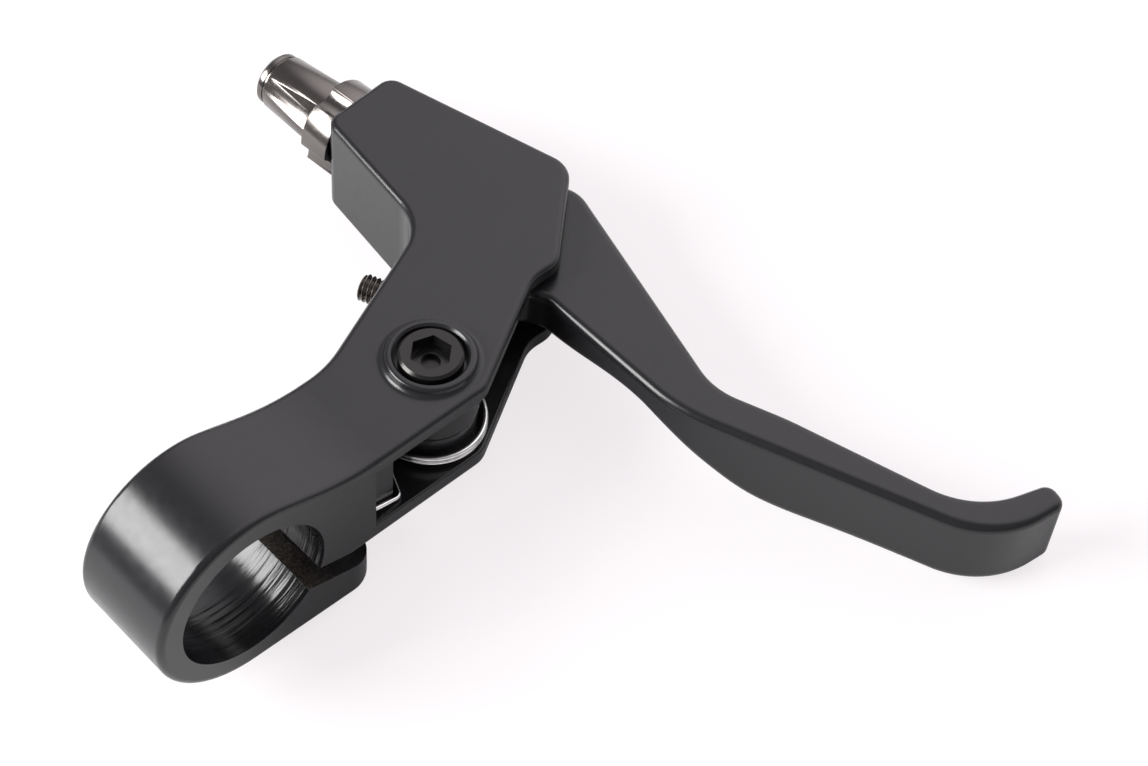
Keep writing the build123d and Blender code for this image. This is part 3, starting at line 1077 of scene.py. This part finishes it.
@dataclass
class Studio:
    """Pale table on which the part lies, painted darker away from the part as painted shade, a
    soft lamp and a sky that is pale behind the part.
    """

    jaw_rest: Place = (-0.0035, 0.01965, -0.01544)
    plate_rest: Place = (-0.01497, 0.07162, -0.00629)
    tip_rest: Place = (0.06518, 0.08264, -0.00483)
    table_gap: float = 0.0003
    table_size: float = 6.0
    table_cuts: int = 3
    table_white: Colour = (0.88, 0.88, 0.88)
    table_glow: float = 0.7
    # painted shade: the table's colour and glow darken with distance from this centre, standing
    # in for light falling off away from the part
    painted_falloff_centre: Place = (0.0, 0.04, -0.01)
    painted_falloff_ends: tuple[float, float] = (0.2, 0.7)
    painted_falloff_level: float = 0.3
    glow_colour: Colour = (1.11, 1.07, 1.095)
    sky_side: Place = (-0.1, 0.72, 0.69)
    sky_ends: tuple[float, float] = (0.58, 1.0)
    sky_pale: float = 1.5
    sky_dark: float = 0.3
    sky_colour: Colour = (1.0, 0.965, 0.995)
    lamps: tuple[SoftLight, ...] = (
        SoftLight(
            "key_lamp", direction=(-0.46, -0.72, 0.46), distance=0.7, width=0.38, power=6.4
        ),
    )

    def table(self) -> bpy.types.Object:
        """Add the table top through the points that the part rests on."""
        jaw, plate, tip = (Vector(p) for p in (self.jaw_rest, self.plate_rest, self.tip_rest))
        normal = (tip - jaw).cross(plate - jaw).normalized()
        bpy.ops.object.select_all(action="DESELECT")
        bpy.ops.mesh.primitive_plane_add(size=self.table_size)
        table = Workpiece("table")
        table.settle(local_frame(jaw - normal * self.table_gap, normal, (1, 0, 0)))
        table.pick(lambda co: True)
        bpy.ops.mesh.subdivide(number_cuts=self.table_cuts)
        table.leave()
        table.obj.data.materials.append(self.table_material())
        table.obj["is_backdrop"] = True
        return table.obj

    def table_material(self) -> bpy.types.Material:
        """Build the white of the table, which is painted darker with distance from the part as
        painted shade of light falling off, and keeps the part's shadow.

        Returns:
            The material, with a glow that only the camera sees.
        """
        material = bpy.data.materials.new("table_white")
        graph = NodeGraph(material, "ShaderNodeOutputMaterial")
        inputs = {0: graph.place(), 1: self.painted_falloff_centre}
        away = graph.add("ShaderNodeVectorMath", inputs, operation="DISTANCE").outputs["Value"]
        # painted shade: full white near the part, ramping down to a share of it far away
        level = graph.ramp(away, self.painted_falloff_ends, (1.0, self.painted_falloff_level))
        shade = graph.mix(level, (0, 0, 0, 1), opaque(self.table_white))
        matt = graph.add("ShaderNodeBsdfDiffuse", {"Color": shade})
        inputs = {"Color": opaque(self.glow_colour), "Strength": level}
        glow = graph.add("ShaderNodeEmission", inputs)
        direct = graph.add("ShaderNodeLightPath").outputs["Is Camera Ray"]
        share = graph.math("MULTIPLY", direct, self.table_glow)
        blend = graph.add(
            "ShaderNodeMixShader", {0: share, 1: matt.outputs[0], 2: glow.outputs[0]}
        )
        graph.finish(blend)
        return material

    def sky(self) -> None:
        """Light the scene from a sky that is pale behind the part and darker elsewhere."""
        world = bpy.data.worlds.new("studio")
        graph = NodeGraph(world, "ShaderNodeOutputWorld")
        side = tuple(Vector(self.sky_side).normalized())
        inputs = {0: graph.place("Generated"), 1: side}
        facing = graph.add("ShaderNodeVectorMath", inputs, operation="DOT_PRODUCT")
        level = graph.ramp(facing.outputs["Value"], self.sky_ends, (self.sky_dark, self.sky_pale))
        inputs = {"Color": opaque(self.sky_colour), "Strength": level}
        graph.finish(graph.add("ShaderNodeBackground", inputs))
        bpy.context.scene.world = world

    def build(self) -> None:
        """Build table, sky and lamps."""
        self.table()
        self.sky()
        low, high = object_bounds()
        for lamp in self.lamps:
            lamp.build((low + high) / 2)


@dataclass(frozen=True)
class PhotoCamera:
    """Camera that sees the part as the photograph does."""

    place: Place = (0.1477585, -0.0993112, 0.2606370)
    right: Place = (0.683882, 0.727011, 0.061316)
    down: Place = (0.598852, -0.511342, -0.616365)
    ahead: Place = (-0.416751, 0.458240, -0.785070)
    sensor: float = 36.0
    focal_pixels: float = 2500.0
    image_width: float = 1148.0
    clip_start: float = 0.01

    def build(self) -> None:
        """Add the camera and make it the scene's own."""
        bpy.ops.object.camera_add()
        camera = bpy.context.active_object
        camera.name = "photo_camera"
        camera.data.sensor_width = self.sensor
        camera.data.lens = self.focal_pixels / self.image_width * self.sensor
        camera.data.clip_start = self.clip_start
        axes = Matrix((Vector(self.right), -Vector(self.down), -Vector(self.ahead))).transposed()
        camera.matrix_world = Matrix.Translation(Vector(self.place)) @ axes.to_4x4()
        bpy.context.scene.camera = camera
        LOG.info("placed the camera")


def clear_defaults() -> None:
    """Remove what Blender's start file holds besides the frame."""
    kept = set(frame["nodes"].values()) | set(frame["bodies"].values())
    for obj in list(bpy.data.objects):
        if obj not in kept:
            bpy.data.objects.remove(obj)


def finishes() -> CadPieces:
    """Return the CAD pieces with their finishes."""
    cable_axis = joint("ring_spin")["axis"]
    return CadPieces(
        anodised=RidgedBoreFinish(
            "satin_black_anodising",
            Slot.BLACK_ALUMINIUM,
            colour=(0.014, 0.0133, 0.015),
            metallic=0.0,
            roughness=0.24,
            mottle_share=0.05,
        ),
        steel=Finish(
            "black_oxide_steel",
            Slot.BLACK_STEEL,
            colour=(0.042, 0.04, 0.039),
            metallic=0.8,
            roughness=0.24,
            mottle_share=0.06,
        ),
        screw=Finish(
            "worn_black_steel",
            Slot.BLACK_STEEL,
            colour=(0.24, 0.22, 0.205),
            metallic=1.0,
            roughness=0.26,
        ),
        polymer=Finish(
            "moulded_black_polymer",
            Slot.BLACK_POLYMER,
            colour=(0.013, 0.013, 0.014),
            metallic=0.0,
            roughness=0.36,
        ),
        wire=Finish(
            "bright_spring_wire",
            Slot.BRIGHT_STEEL,
            colour=(0.88, 0.88, 0.87),
            metallic=1.0,
            roughness=0.18,
            mottle_scale=700.0,
        ),
        plating=TurnedFinish(
            "black_nickel_plating",
            Slot.BLACK_NICKEL,
            colour=(0.18, 0.166, 0.158),
            metallic=1.0,
            roughness=0.2,
            axis_turn=math.atan2(cable_axis[1], cable_axis[0]),
        ),
    )


def main() -> None:
    """Build the looks of the part in order and report each piece."""
    logging.basicConfig(level=logging.INFO, format="%(name)s: %(message)s")
    clear_defaults()
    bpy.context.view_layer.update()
    bpy.context.scene.view_settings.view_transform = "Standard"
    pieces = finishes()
    pieces.dress()
    BarrelAdjuster(pieces.plating).build()
    ReachScrew(pieces.screw).build()
    ReturnSpring(pieces.wire).build()
    PhotoCamera().build()
    Studio().build()


if __name__ == "__main__":
    main()
